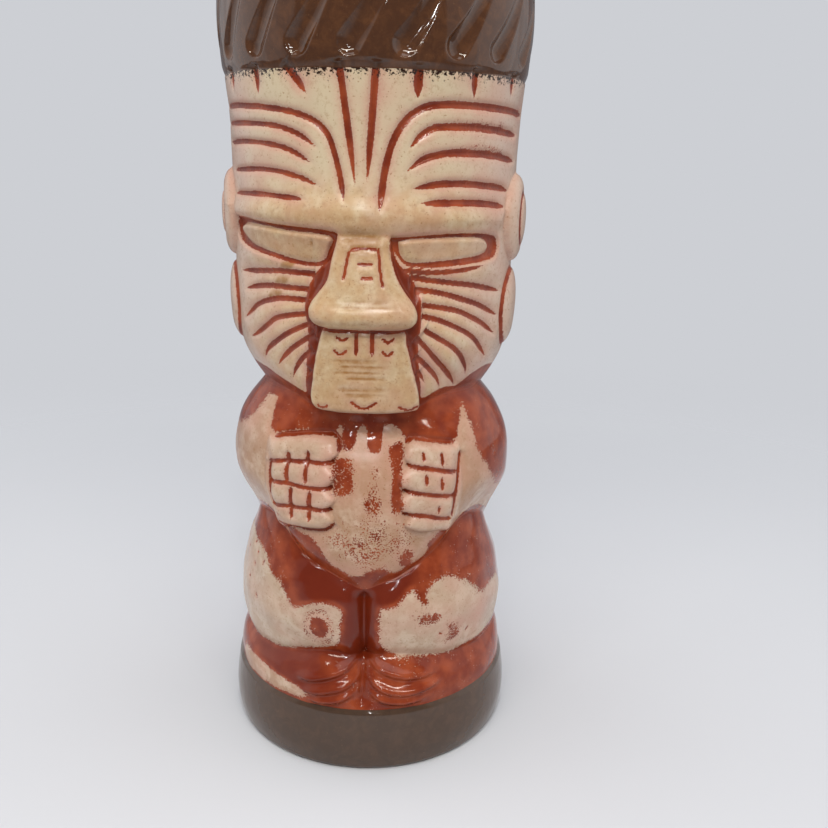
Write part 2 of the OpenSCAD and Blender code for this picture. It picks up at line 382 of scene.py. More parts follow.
def shape_legs():
    """Squatting legs and feet, parted by a cleft in front and behind."""
    for middle, width, depth in ((CLEFT, 4.4, 2.3), (180, 6, 1.8)):
        gap = bell((T - middle + 180) % 360 - 180, 0, width)
        R[:] -= depth * gap * LEGS * step(WAIST - Z, 0, 3)
        R[:] -= 0.55 * depth * gap * FEET * step(Z, PLINTH_Z, PLINTH_Z + 2.5)
    for middle, rise in ((-36, 1.1), (38, 1.2), (-140, 0.5), (140, 0.5)):
        R[:] += rise * bell(T, middle, 22) * bell(Z, 39, 9) * LEGS
    for middle in (-22, 24):
        R[:] += 0.5 * bell(T, middle, 12) * bell(Z, 20.5, 4.5) * FEET
    waves = np.sin(0.19 * T + 0.34 * Z) * np.sin(0.3 * Z - 0.13 * T + 1)
    R[:] += 0.16 * waves * (LEGS + 0.5 * FEET)
    bumps = (-21, 50.5, 0.5, 5), (-17, 42.5, 0.4, 5), (-26, 47.5, 0.3, 4), (22, 50, 0.4, 6)
    for middle, height, rise, width in bumps:
        R[:] += rise * bell(T, middle, width) * bell(Z, height, 1.8) * LEGS
    # A soft dent round the ankle
    R[:] -= 0.5 * bell(Z, ANKLE, 1.6) * (LEGS + FEET)


def shape_torso():
    d, at = inside(CHEST, 8)
    R[at] -= 0.8 * step(d, -3, 5) * TORSO[at] * step(NECK[at[1]] - Z[at], 0, 3)
    for outline in (LEFT_HAND, RIGHT_HAND):
        d, at = inside(outline)
        outer_end = step(40 - AROUND[at[1]], 0, 6)
        R[at] += (0.5 + 1.1 * outer_end) * dome((d + 0.3) / 1.7)
    R[:] += 0.12 * np.sin(0.17 * T + 0.3 * Z) * np.sin(0.33 * Z - 0.11 * T) * TORSO
    R[:] += 0.3 * np.sin(0.55 * T) * bell(Z, 84.6, 1.6) * bell(T, 0, 20) * TORSO
    # Forearms run on from the hands round the sides
    for side in (-1, 1):
        R[:] += 0.5 * bell(T * side, 62, 24) * bell(Z, 71, 8) * TORSO


def shape_head():
    # Under the jaw all is rust
    jaw = spline(ANGLE, [(-180, 92), (-90, 93), (-60, 95), (-48, 94.6), (-42, 93.6), (-36, 92.6), (-22, 90.6),
                         (0, 88), (24, 90), (38, 92.2), (48, 92), (54, 94), (62, 95), (90, 93), (180, 92)])
    deepen(RUST_AND_SHADE, HEAD * step(jaw - Z, -0.6, 0.6))
    # Cheeks and jaw are fuller than the neck right up to the plate
    R[:] += 0.5 * bell(AROUND, 42, 22) * bell(Z, 104, 9) * HEAD
    d, at = inside(BROW)
    R[at] += 0.9 * step(d, -1.6 - 1.4 * step(Z[at], 128, 131), 2.2)
    for socket, eye in ((LEFT_SOCKET, LEFT_EYE), (RIGHT_SOCKET, RIGHT_EYE)):
        d, at = inside(socket)
        R[at] -= 1.1 * step(d, -0.5, 0.6)
        paint(socket, 1, 0.35)
        d, at = inside(eye)
        tilt = step(Z[at], 127.5, 120.5)
        R[at] += (0.45 + 0.9 * (1 - tilt)) * step(d, -0.3, 0.8)
        paint(eye, 0, 0.35)
    # Beside the nose the rust is painted past 1, as painted shade
    for side in (-1, 1):
        paint(on_side(side, BESIDE_NOSE), 1.3, 0.6)
        R[:] -= 0.9 * bell(AROUND, 19, 4) * bell(Z, 115, 5) * HEAD * (T * side > 0)
    # Painted shade: the cream darkens between the brow and the top of the nose
    deepen(AGED_AND_SHADE, 1.15 * bell(Z, 125, 4) * bell(T, 0.5, 11) * HEAD)
    deepen(AGED_AND_SHADE, 0.5 * bell(Z, 128.8, 3.2) * bell(AROUND, 10, 46) * HEAD)
    for eye, share in ((LEFT_EYE, 0.55), (RIGHT_EYE, 0.35)):
        d, at = inside(eye)
        deepen(AGED_AND_SHADE, share * step(d, 0, 1) * (0.6 + 0.4 * bell(AROUND[at[1]], 24, 16)), at)
    shape_plate()
    shape_nose()
    shape_ears()


def wipe(d, at, darkness):
    """Wipes the rust off a raised feature and ages its cream."""
    RUST_AND_SHADE[at] *= 1 - step(d, -0.2, 0.3)
    BLUSH[at] *= 1 - step(d, -0.2, 0.6)
    deepen(AGED_AND_SHADE, darkness * step(d, -0.2, 1.4), at)


def shape_plate():
    """The plate over the mouth hangs straight, so its chin stands clear of the neck."""
    d, at = inside(PLATE)
    middle, front_r, flatness = 1.5, 34.7, 0.00045
    target = front_r - flatness * (T[at] - middle) ** 2
    share = dome((d + 0.25) / 1.5) * HEAD[at]
    deepen(R, R[at] + (target - R[at]) * share, at)
    wipe(d, at, 0.42)


def shape_nose():
    d, at = inside(NOSE)
    rise = spline(Z[at], [(106.6, 3.4), (108, 4.7), (110.2, 5.1), (112.4, 4.3), (114, 3.7), (117, 3),
                          (121, 2.1), (126, 0.9)])
    edge = spline(Z[at], [(106.6, 2), (112, 3.6), (118, 2.4), (126, 2)])
    face_r, outside_drop = 32.9, 5
    deepen(R, face_r + (rise - 0.2) * dome((d + 0.3) / edge) - outside_drop * (d < -0.3), at)
    wipe(d, at, 0.38)


def shape_ears():
    """Each ear is a large round lobe over a smaller one."""
    rise = np.zeros_like(R)
    lobes = (81, 128.6, 15.5, 9.8, 2.9), (79, 108.4, 12.5, 9, 1.7)
    for turn, height, half_width, half_height, lobe_rise in lobes:
        far = ((AROUND - turn) / half_width) ** 2 + ((Z - height) / half_height) ** 2
        rise = np.maximum(rise, lobe_rise * np.sqrt(np.clip(1 - far**1.3, 0, 1)))
        front_edge = bell(far, 1.0, 0.16) * (AROUND < turn)
        if lobe_rise < 2:
            deepen(RUST_AND_SHADE, 0.9 * front_edge * (AROUND > 60) * HEAD)
        deepen(RUST_AND_SHADE, 0.85 * bell(far, 1.02, 0.13) * (AROUND > turn) * HEAD)
        deepen(BLUSH, 0.5 * front_edge * HEAD)
    # The hollow in the upper lobe
    for side in (-1, 1):
        hollow = on_side(side, [(88, 134), (78, 133.6), (74, 129), (77, 124), (86, 122)])
        groove(hollow, 1.6, 0.8, taper=(3, 3), rust=0.95)
    R[:] += rise * HEAD


def carve_forehead():
    # Short strokes hang from under the band all round
    for start, end, height, width in (
        (-61, -60.4, 154.2, 1.8), (-42.4, -41.6, 153.2, 1.9), (-28, -19.6, 153.2, 2.1), (19, 19, 152.4, 2.6),
        (41, 41.5, 153.2, 1.9), (64, 64, 154.2, 1.9), (95, 94, 155.5, 1.6), (118, 120, 154.5, 1.6),
        (142, 142, 155, 1.6), (166, 163, 154.5, 1.6), (-95, -95, 155.5, 1.6), (-120, -117, 154.5, 1.6),
        (-142, -143, 155, 1.6), (-166, -164, 155, 1.6),
    ):
        groove([(start, 159), (end, height)], width, 0.7, taper=(0.1, 3))
    # Two straight grooves down the middle, and the long curves that sweep out from them
    groove([(-8, 159.5), (-5.4, 148), (-2.4, 135.6)], 1.9, 1.0, taper=(0.1, 10))
    groove([(4.6, 159.5), (3.2, 148), (1.6, 135.8)], 2.0, 1.1, taper=(0.1, 10))
    groove([
        (-82, 151.6), (-60, 151.4), (-36, 150.6), (-21, 149), (-13, 146), (-9, 140), (-6.2, 132.4),
    ], 1.6, 0.9)
    groove([
        (84, 151), (60, 151.6), (30, 151.8), (19, 150.3), (12, 146), (8.2, 139.5), (6, 130.6),
    ], 2.0, 1.0)
    for points in (
        [(-82, 148), (-41, 147.5), (-26, 146), (-16, 143)],
        [(-76, 143.8), (-50, 144), (-31, 143), (-18, 140)],
        [(-68, 138), (-41, 138.5), (-26, 137.5), (-15, 135.5)],
        [(-67, 133), (-60, 133.2), (-41, 133.4), (-20, 132.8)],
    ):
        groove(points, 1.4, 0.9, taper=(5, 5))
    # The cream is thin over the right-hand lines
    for patch in ([(22, 147.4), (34, 149.6), (60, 149.6), (64, 146.6), (40, 146)],
                  [(26, 142), (40, 145), (60, 144.4), (60, 141.4)]):
        paint(patch, 0.46, 1.4)
    for points in (
        [(16, 143), (22, 146.2), (30, 147.6), (50, 147.5), (76, 146.5)],
        [(15.5, 138.8), (23, 141.4), (34, 142.5), (52, 142.3), (76, 141)],
        [(17, 135.4), (34, 136.5), (59, 135.6), (70, 134.6)],
        [(20, 132.6), (44, 132.5), (66, 131.4)],
    ):
        groove(points, 1.9, 1.0, taper=(5, 5))


# Lines that fan out over the left cheek, then the right
WHISKERS = [
    [(-18, 117.6), (-32, 117.7), (-42, 117.3), (-52, 116.7), (-63, 116.2)],
    [(-20.8, 114.3), (-30.8, 114.3), (-42, 114.1), (-52, 113.2), (-59, 112.2)],
    [(-22, 112), (-34, 111.8), (-43, 110.7), (-50, 109.2), (-56.5, 107), (-61, 105.2)],
    [(-22, 109.1), (-30, 108.4), (-37, 107.3), (-43, 105.2), (-50, 103), (-56, 101.4)],
    [(-18, 107.7), (-25, 106.1), (-32, 104.1), (-38, 102), (-44, 99.8), (-48, 97)],
    [(-18, 105.2), (-24, 103.2), (-29.5, 101.1), (-35, 98.6), (-39.5, 96.1)],
    [(-19.2, 101.8), (-25, 99.1), (-29, 96.4), (-32, 93.6)],
    [(-21, 97.3), (-24.5, 94.3)],
    [(18, 117.5), (25, 116.8), (35, 116), (45, 115.2), (54, 114.2), (66, 112.8)],
    [(20, 114.8), (27.5, 114.3), (35, 113.3), (42.5, 112), (51, 110.5), (66, 107)],
    [(22.5, 111.6), (30, 110.9), (39, 109.8), (48, 107.7), (55, 105.9), (65, 102.6)],
    [(22.5, 109.3), (30, 108.2), (39, 106.1), (46, 104.1), (52.5, 101.6), (61, 97.6)],
    [(23.8, 106.4), (30, 104.3), (37.5, 101.8), (43.8, 98.9), (48.8, 95.9), (50.4, 93.6)],
    [(20.5, 105), (24, 103), (30, 99.5), (36, 96.6), (42.5, 93.6), (46, 91.6)],
    [(20.6, 100.9), (26, 98.2), (32.5, 94.8), (36, 91.6)],
    [(22.5, 97.3), (27, 93.6)],
]


def carve_cheeks():
    for points in WHISKERS:
        groove(points, 1.6, 1.4, taper=(0.5, 6), shoulder=0.6)
    # A second line below the right eye, and blotches below the left
    groove([(14, 119.2), (24, 118.4), (38, 118.5), (52, 119.2)], 1.4, 0.5, taper=(2, 6))
    blotch = (-4, -0.7), (-1, 1), (4, 0.8), (1, -1)
    for angle, height in ((-31, 118.9), (-34, 115.6), (-38, 112.4)):
        d, at = inside([(angle + a, height + z) for a, z in blotch])
        deepen(AGED_AND_SHADE, 0.9 * step(d, -0.3, 0.4), at)


def carve_nose_and_plate():
    fine = dict(width=0.8, depth=0.35, taper=(0.6, 0.6), rust=0.95, shoulder=0.2)
    for points in (
        [(-4.2, 123.2), (0.6, 123.5), (5.8, 123.3)],
        [(-4.2, 123), (-5, 120), (-5.8, 117)],
        [(5.8, 123.8), (6.4, 119.5), (7.4, 115.6)],
        [(-1.6, 120.4), (4.4, 120.4)],
        [(-0.4, 117.7), (4.6, 117.7)],
    ):
        groove(points, **fine)
    # A shallow crease under the brow, darkened with painted shade
    groove([(-9, 125.6), (0, 125.4), (8, 125.4)], 2.2, 0.5, taper=(2, 2), rust=0, aged_and_shade=0.9)
    for left, right, height in ((-8, 11, 112.9), (-10, 12, 111.8), (-4, 6, 108.6)):
        groove([(left, height), (right, height)], 1.0, 0.25, taper=(3, 3), rust=0, aged_and_shade=0.9)
    # The plate: nostril strokes, rows of small arcs, and straight lines
    for angle in (-1.6, 4):
        groove([(angle, 106.6), (angle, 101)], 1.1, 0.5, taper=(0.3, 1.5))
    for left, right, high, low in (
        (-9, -3.9, 105.4, 104.5), (-10, -4.5, 102.6, 101.4), (7.2, 11.9, 105.4, 104.2),
        (7.2, 11.6, 102.6, 101.4), (-4, 6.3, 91.5, 89.9), (-16.4, -11.4, 90.2, 89.6), (13, 21.5, 90.4, 89.4),
    ):
        groove([(left, high), ((left + right) / 2, low), (right, high)], **fine)
    for left, right, height in ((-11, 7, 100.1), (-9, 9, 98.9), (-11, 8, 97.7), (-7, 11, 96.5), (-9, 10, 94),
                                (-7, 9, 92.8)):
        groove([(left, height), (right, height)], 0.8, 0.22, taper=(2, 2), rust=0, aged_and_shade=1.2)
    # The seams between nose, plate and cheeks
    groove([
        (-20, 108.6), (-17, 106.9), (-10, 106.5), (1, 106.4), (12, 106.5), (18, 106.9), (20.6, 108.6),
    ], 1.0, 0.45, taper=(1, 1))
    groove([(-15, 106.6), (-17.8, 101), (-19.8, 95.5), (-20.6, 91.6)], 0.9, 0.3, taper=(1, 2))
    groove([(16, 106.6), (18.8, 103.4), (20.8, 99), (22.4, 94.6), (23.4, 91.6)], 0.9, 0.3, taper=(1, 2))
    groove([(-10, 125), (-13, 121.5), (-15, 117), (-18, 114.4), (-20.6, 112)], 1.0, 0.3, taper=(2, 1))
    groove([(9.5, 125), (11.6, 121.5), (14, 117.5), (17, 114.5), (20.6, 112)], 1.0, 0.3, taper=(2, 1))
    # A small dent near the inner end of the left eye
    groove([(-19.8, 124.2), (-18.6, 124.2)], 2.2, 0.35, taper=(0.1, 0.1), rust=0, aged_and_shade=1)


def carve_hands():
    wide = dict(width=1.3, depth=0.95, taper=(1, 1), shoulder=0.45)
    for points in (
        [(-39, 74.9), (-32, 75.8), (-22, 76.4), (-10, 76.7)],
        [(-39, 70.4), (-29, 71), (-20, 70.8), (-10, 71.2)],
        [(-38, 64.6), (-29, 65.5), (-20, 66), (-10, 66.2)],
        [(-38, 75.2), (-38.2, 70), (-37.6, 64.6)],
        [(-29, 78.4), (-29.2, 74), (-29, 71)],
        [(-27, 70.6), (-27.2, 66), (-27, 62.6)],
        [(-21, 79), (-21.2, 75), (-21, 71.4)],
        [(-19, 70.2), (-19.2, 66), (-19, 63)],
        [(-38, 80.6), (-29, 81.7), (-19, 82.4), (-12, 82.3), (-9.4, 80.8), (-9, 78.6)],
        [(-37, 60), (-22, 60.5), (-13, 61.3), (-9.4, 63.4)],
        [(17.4, 76.4), (26, 75.5), (33, 74.5), (38.6, 73.7)],
        [(15.4, 71), (24, 69.9), (32, 68.9), (38, 68.3)],
        [(15.4, 65.5), (24, 64.9), (31, 63.5), (36, 62.8)],
        [(41, 78.4), (38.8, 73), (37.6, 68.4), (36.6, 63)],
        [(18, 80.8), (21, 81.8), (27, 81.4), (39.6, 80.2)],
    ):
        groove(points, **wide)
    for points in (
        [(-35, 63), (-34.6, 62)], [(24.5, 74.4), (24.6, 72)], [(30.5, 73.5), (30.6, 70.4)],
        [(29.5, 67), (29.6, 65)], [(24, 79.4), (24.2, 77)], [(31, 79), (31.2, 76)],
    ):
        groove(points, 0.9, 0.5, taper=(0.5, 0.5))


def carve_feet():
    """The tops of the feet and the toes are folds, each a ridge with a crease under it."""
    for points in (
        [(-27, 22.4), (-16, 23.6), (-7, 25.6), (-0.6, 28)],
        [(-24, 19.4), (-13, 20.6), (-5, 22.2), (-0.8, 24)],
        [(-21, 17.4), (-10, 18.2), (-1.6, 20.4)],
        [(3.4, 28), (8, 26.2), (18, 24.4), (33, 24)],
        [(3.6, 24), (8, 22), (17, 20.6), (34, 21.6)],
        [(4, 20.6), (12, 18.4), (26, 18)],
    ):
        groove(points, 2.4, -1.3, taper=(4, 5), rust=0, shoulder=0.25)
        groove([(a, z - 1.5) for a, z in points], 1.6, 0.45, taper=(3, 3), rust=0.6)
    groove([(CLEFT, 46), (CLEFT, 36), (1.2, 27), (0.8, 20), (0.6, 17)], 1.6, 0.8, taper=(2, 3))


def carve_back():
    """The far side isn't known: the forehead's lines run on round the head, and the arms end at a crease."""
    for side in (-1, 1):
        for start, height in ((88, 151.2), (88, 147), (86, 142.4), (104, 137.4), (106, 132.6)):
            line = [(start, height), (130, height - 0.3), (172, height - 1.2)]
            groove(on_side(side, line), 1.8, 0.9, taper=(5, 5))
        crease = [(118, 86), (135, 81), (141, 72), (135, 63), (120, 57)]
        groove(on_side(side, crease), 2.4, 0.8, taper=(6, 6))
    for spine in (-180, 180):
        groove([(spine, 84), (spine, 70), (spine, 58)], 3, 0.7, taper=(5, 5), rust=0.6)


# Round-ended gouges lean across the rim band, widest at their lower ends. Each runs through these
# points, as (angle from its foot, height).
GOUGES = 20
FIRST_GOUGE = -4
GOUGE = [(0, 162.6), (5, 167), (11, 173)]


def carve_band():
    for i in range(GOUGES):
        foot = (FIRST_GOUGE + 360 / GOUGES * i + 180) % 360 - 180
        for turn in (-360, 0, 360):
            line = np.array([((foot + turn + a) * SKIN_PER_DEGREE, z) for a, z in GOUGE])
            at = window(line, 4)
            if 0 in R[at].shape:
                continue
            d, along, _ = to_line(line, at)
            half = 2.6 - 1.1 * along
            R[at] -= (1.25 - 0.85 * along) * np.clip(1 - (d / half) ** 2, 0, 1) ** 0.9


def glaze_figure():
    """Where the rust glaze shows: the creases, the chest, the seat and the feet; cream lies on the rest.
    Painted shade darkens the rust between the legs, along the ankles and on the left foot.
    """
    deepen(RUST_AND_SHADE, FEET + LEGS)
    # Painted shade: rust past 1 darkens between the legs under the belly, along the ankle crease and over the
    # left foot
    paint([
        (-32, 58), (-12, 60), (0, 54), (12, 58), (24, 54), (20, 43), (8, 41), (6, 28), (-6, 28), (-9, 40),
        (-24, 40),
    ], 1.5, 2.5, LEGS)
    deepen(RUST_AND_SHADE, 1.5 * bell(Z, ANKLE, 2.2) * bell(T, -10, 44) * (LEGS + FEET))
    paint([(-62, 25), (-34, 27.4), (-14, 26.4), (-10, 20), (-26, 18.6), (-50, 21.6)], 1.4, 2, FEET)
    for outline in (
        [(-54, 51), (-46, 50), (-42, 47), (-34.5, 44.5), (-30.8, 42), (-28, 39.8), (-23, 41.5), (-13, 42.8),
         (-7, 41), (-8, 37), (-9.5, 32), (-17, 29.8), (-28, 28.4), (-36, 26.8), (-50, 25.6), (-72, 25.4),
         (-98, 27), (-108, 38), (-92, 48), (-70, 53)],
        [(8, 41.5), (14, 42.5), (18, 45), (21.8, 46), (24, 43), (26.8, 42), (29, 46.5), (36.8, 47.5),
         (43, 46), (50.5, 43), (58, 40), (76, 40), (84, 34), (74, 28), (55.5, 27), (43, 26.4), (28, 27.2),
         (16.8, 28), (10.5, 30.4), (7.4, 34)],
        [(116, 44), (136, 47), (160, 45), (168, 38), (160, 31), (136, 29), (118, 32), (110, 38)],
        [(-172, 40), (-150, 47), (-130, 45), (-124, 38), (-132, 31), (-156, 30), (-170, 33)],
    ):
        paint(outline, 0, 1.5)
    paint([(-19.5, 38.5), (-15, 38.6), (-13, 36), (-15, 33.4), (-19, 33.2), (-21, 36)], 1, 0.7)
    for outline in ([(22, 39), (28, 40), (34, 38.4), (30, 36.4), (24, 36.6)],
                    [(36, 36), (42, 35), (44, 31), (38, 30)]):
        paint(outline, 0.62, 1.4)
    paint([(-66, 20.4), (-46, 20.8), (-24, 19.4), (-22, 17.4), (-40, 16.6), (-66, 16.8)], 0, 0.9)
    # Pits and scratches in the cream
    for angle, height, slant in (
        (-58, 50, 1.2), (-54, 48.4, 0.8), (-50, 50.2, 1), (-56, 46, -0.9), (-48, 47, 1.1), (-60, 41, 0.8),
        (-52, 38.6, -1), (-66, 47.5, 1), (60, 74.6, 1.1), (33, 33.8, -1), (48, 31, 1.2),
    ):
        scratch = [(angle, height), (angle + 1.6, height + slant)]
        groove(scratch, 0.8, 0.2, taper=(0.4, 0.4), rust=0.75, aged_and_shade=0.9)
    deepen(BLUSH, 0.75 * bell(T, 55, 9) * bell(Z, 35, 6) * LEGS)
    # A worn ring round the knee's spot
    ring = [(-17 + 6 * math.cos(a), 35.8 + 4.6 * math.sin(a)) for a in np.linspace(0, 2 * math.pi, 15)]
    groove(ring, 2.2, 0.1, taper=(0.1, 0.1), rust=0.36)
    # The torso: bare rust on the chest, under the belly and behind the shoulders
    paint([
        (-47, 94), (-43, 85.5), (-39.5, 81.4), (-28, 82.4), (-14, 82.6), (-9.4, 84), (-8.6, 80),
        (-5.6, 79), (-3, 80.4), (-1.6, 84), (1.6, 84), (2.4, 80), (5, 78.8), (8, 80), (9.4, 84),
        (14, 84.6), (17, 83), (19, 81.8), (38, 80.6), (42, 83.4), (49, 88.6), (54, 94),
    ], 1, 0.6, TORSO)
    paint([(-54, 93), (-52, 87), (-58, 82), (-76, 79), (-100, 80), (-130, 84), (-150, 93)], 1, 2, TORSO)
    paint([
        (50, 93), (48, 86), (49, 78), (55, 73), (63, 68), (76, 64.5), (92, 66), (108, 72), (120, 84),
        (130, 93),
    ], 1, 1.4, TORSO)
    paint([
        (-34, 60), (-21, 58.8), (-17, 57.2), (-12.6, 52.8), (-7, 50.6), (-0.7, 49.8), (3, 51.3),
        (8, 51.8), (14.3, 50.6), (20.5, 52), (27, 54), (28, 57.5), (38, 59.6), (30, 46), (0, 40),
        (-24, 46),
    ], 1, 1.0, TORSO)
    paint([(15.5, 52), (20.5, 52), (20.5, 55.8), (15.5, 55.6)], 0.9, 0.8)
    paint([(-11, 78), (-3, 77), (-3.4, 70), (-9, 69.6), (-11, 72)], 0.8, 1.2)
    paint([(11, 80), (17, 81), (15.4, 73), (15.6, 66), (11.6, 66), (12, 73)], 0.9, 0.8)
    paint([(4, 75.4), (6, 75.4), (8, 67), (5, 65), (1, 67)], 0.55, 1.4)
    paint([(-8, 64), (10, 65), (22, 60), (14, 54), (-4, 53), (-14, 58)], 0.4, 3)
    # Rust runs along the creases at the ankles, the waist and the neck
    for crease, width, zones in ((WAIST, 1.5, TORSO + LEGS), (NECK, 2.6, TORSO)):
        deepen(RUST_AND_SHADE, zones * step(width - np.abs(Z - crease), -0.4, 0.6))


def rub_figure():
    """The cream is rubbed thin on the arms and belly, and is thick and pale on the hands and legs."""
    AGED_AND_SHADE[:] += 0.28 * TORSO - 0.55 * LEGS
    for outline in (LEFT_HAND, RIGHT_HAND):
        d, at = inside(outline)
        AGED_AND_SHADE[at] -= 0.7 * step(d, -0.5, 0.8)


shape_legs()
shape_torso()
shape_head()
glaze_figure()
carve_forehead()
carve_cheeks()
carve_nose_and_plate()
carve_hands()
carve_feet()
carve_back()
carve_band()
rub_figure()

# ---------------- from the field to meshes
def polar(radius, height):
    """Rounds of points at these radii and heights."""
    turn = np.radians(ANGLE)
    return np.stack([radius * np.sin(turn), -radius * np.cos(turn), 0 * turn + height], axis=-1)


POINTS = polar(R, Z)
around = np.roll(POINTS, -1, axis=1) - np.roll(POINTS, 1, axis=1)
upward = np.gradient(POINTS, axis=0)
NORMALS = np.cross(around, upward)
NORMALS /= np.linalg.norm(NORMALS, axis=-1, keepdims=True)

# The bore is turned, as (height, radius)
BORE = [
    (PLINTH_Z - 4, PLINTH_R - WALL), (PLINTH_Z, 26.3), (36, 25.8), (NECK_Z - 38, 24.9), (62.4, 27.3),
    (77.6, 27.3), (NECK_Z, 22.9), (107.6, 28), (140.8, 28), (BAND_Z, 29.6), (LIP_Z, 30.9),
]
# The casting's bare skin lies under the raised features, flatter than they are and this far in
LEAST_COVER = 1.2
UNDER = np.minimum(R - LEAST_COVER, 0.4 * R + 0.6 * (R.min(1, keepdims=True)) - 0.3)
UNDER_POINTS = polar(UNDER, Z)

# Which piece each cell belongs to: first the rings, then the features that lie on them
LABEL = np.full((ROWS - 1, COLUMNS), "", dtype=object)
for zone in ZONES:
    LABEL[cells(zone)] = "seat" if zone in ("feet", "legs") else zone
# Behind, the strip between the legs starts here
BACK_EDGE = 178
for zone, part in (("feet", "foot"), ("legs", "leg")):
    block = LABEL[cells(zone)]
    block[:, (ANGLE < CLEFT - CLEFT_HALF) & (ANGLE > -BACK_EDGE)] = "left_" + part
    block[:, (ANGLE > CLEFT + CLEFT_HALF) & (ANGLE < BACK_EDGE)] = "right_" + part


def label(outline, name, zone):
    """Gives a zone's cells inside an outline to a piece."""
    d, (rows, columns) = inside(outline)
    i, j = np.nonzero(d > 0)
    i, j = rows.ravel()[i], columns.ravel()[j]
    keep = (i >= cells(zone).start) & (i < cells(zone).stop)
    LABEL[i[keep], j[keep]] = name


ARM = [
    (44, 61.5), (41, 70), (41, 79), (46, 85), (54, 88.6), (80, 87.4), (110, 86), (134, 80), (140, 72),
    (134, 63), (110, 57), (80, 58.4), (60, 61.6),
]
for outline, feature, zone in (
    (ARM, "right_arm", "torso"), (on_side(-1, ARM), "left_arm", "torso"),
    (LEFT_HAND, "left_hand", "torso"), (RIGHT_HAND, "right_hand", "torso"),
    (BROW, "brow", "head"), (LEFT_EYE, "left_eye", "head"), (RIGHT_EYE, "right_eye", "head"),
    (PLATE, "plate", "head"), (NOSE, "nose", "head"),
    (EAR, "right_ear", "head"), (on_side(-1, EAR), "left_ear", "head"),
):
    label(outline, feature, zone)

NEXT = (np.arange(COLUMNS) + 1) % COLUMNS


def quads_between(lower, upper):
    """Faces between two rounds of point numbers, facing outward when upper is above lower."""
    return np.stack([lower, lower[NEXT], upper[NEXT], upper], axis=-1).reshape(-1, 4)


def make_piece(part, points, groups, materials, node):
    """A mesh from groups of (quads, kind, material number), where kind is skin, smooth or flat.

    Skin faces take the normals of the whole figure, so the pieces' edges don't show.
    """
    name = "glazed_" + part
    quads, kinds, numbers = zip(*groups)
    counts = [len(q) for q in quads]
    kinds, numbers = np.repeat(kinds, counts), np.repeat(numbers, counts)
    used, faces = np.unique(np.concatenate(quads), return_inverse=True)
    faces = faces.reshape(-1, 4)
    coordinates, normals = points[0][used], points[1][used]
    mesh = bpy.data.meshes.new(name)
    mesh.vertices.add(len(coordinates))
    mesh.vertices.foreach_set("co", (coordinates * MM).astype(np.float32).ravel())
    mesh.loops.add(faces.size)
    mesh.loops.foreach_set("vertex_index", faces.ravel().astype(np.int32))
    mesh.polygons.add(len(faces))
    mesh.polygons.foreach_set("loop_start", np.arange(0, faces.size, 4, dtype=np.int32))
    mesh.polygons.foreach_set("material_index", numbers.astype(np.int32))
    mesh.polygons.foreach_set("use_smooth", kinds != "flat")
    mesh.update(calc_edges=True)
    mesh.validate()
    loop_normals = normals[faces]
    loop_normals[kinds != "skin"] = 0
    mesh.normals_split_custom_set(loop_normals.reshape(-1, 3).tolist())
    for mask_name, values in points[2].items():
        attribute = mesh.attributes.new(mask_name, "FLOAT", "POINT")
        attribute.data.foreach_set("value", values[used].astype(np.float32))
    for m in materials:
        mesh.materials.append(m)
    piece = bpy.data.objects.new(name, mesh)
    bpy.context.scene.collection.objects.link(piece)
    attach(piece, "root")
    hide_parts(node)


def all_points(inner):
    """The skin, the casting under it and extra points, in one list, with their normals and masks."""
    coordinates = np.concatenate([POINTS.reshape(-1, 3), UNDER_POINTS.reshape(-1, 3), inner])
    normals = np.zeros_like(coordinates)
    normals[:R.size] = NORMALS.reshape(-1, 3)
    unseen = np.ones(len(coordinates) - R.size)
    masks = {name: np.concatenate([mask.ravel(), unseen])
             for name, mask in (("rust", RUST_AND_SHADE), ("blush", BLUSH), ("aged_and_shade", AGED_AND_SHADE))}
    return coordinates, normals, masks


TOP_ID = np.arange(R.size).reshape(R.shape)
UNDER_ID = TOP_ID + R.size
FIRST_INNER = 2 * R.size


def cell_faces(ids, i, j):
    """Outward faces of the cells in rows i and columns j."""
    right = NEXT[j]
    return np.stack([ids[i, j], ids[i, right], ids[i + 1, right], ids[i + 1, j]], axis=-1)


def patch_faces(own, offset):
    """Faces on the skin and on the casting for the cells in own, and the walls round their edges."""
    rows, columns = np.nonzero(own)
    skin = cell_faces(TOP_ID, rows + offset, columns)
    base = cell_faces(UNDER_ID, rows + offset, columns)
    beside = own[:, NEXT]
    padded = np.pad(own, ((1, 1), (0, 0)))
    over, under = padded[1:], padded[:-1]
    walls = []
    for edges, upright, flip in ((own & ~beside, True, False), (~own & beside, True, True),
                                 (under & ~over, False, False), (~under & over, False, True)):
        i, j = np.nonzero(edges)
        i = i + offset
        right = NEXT[j]
        if upright:
            corners = TOP_ID[i, right], UNDER_ID[i, right], UNDER_ID[i + 1, right], TOP_ID[i + 1, right]
        else:
            corners = TOP_ID[i, j], TOP_ID[i, right], UNDER_ID[i, right], UNDER_ID[i, j]
        quads = np.stack(corners, axis=-1)
        walls.append(quads[:, ::-1] if flip else quads)
    return skin, base, np.concatenate(walls)


def relief_piece(part, node):
    """A raised feature: its glazed skin in front and the casting's curve behind."""
    own = LABEL == part
    used = np.nonzero(own.any(1))[0]
    skin, base, walls = patch_faces(own[used[0]:used[-1] + 1], used[0])
    groups = [(skin, "skin", 0), (base[:, ::-1], "flat", 0), (walls, "flat", 0)]
    make_piece(part, all_points(np.zeros((0, 3))), groups, [FIGURE], node)


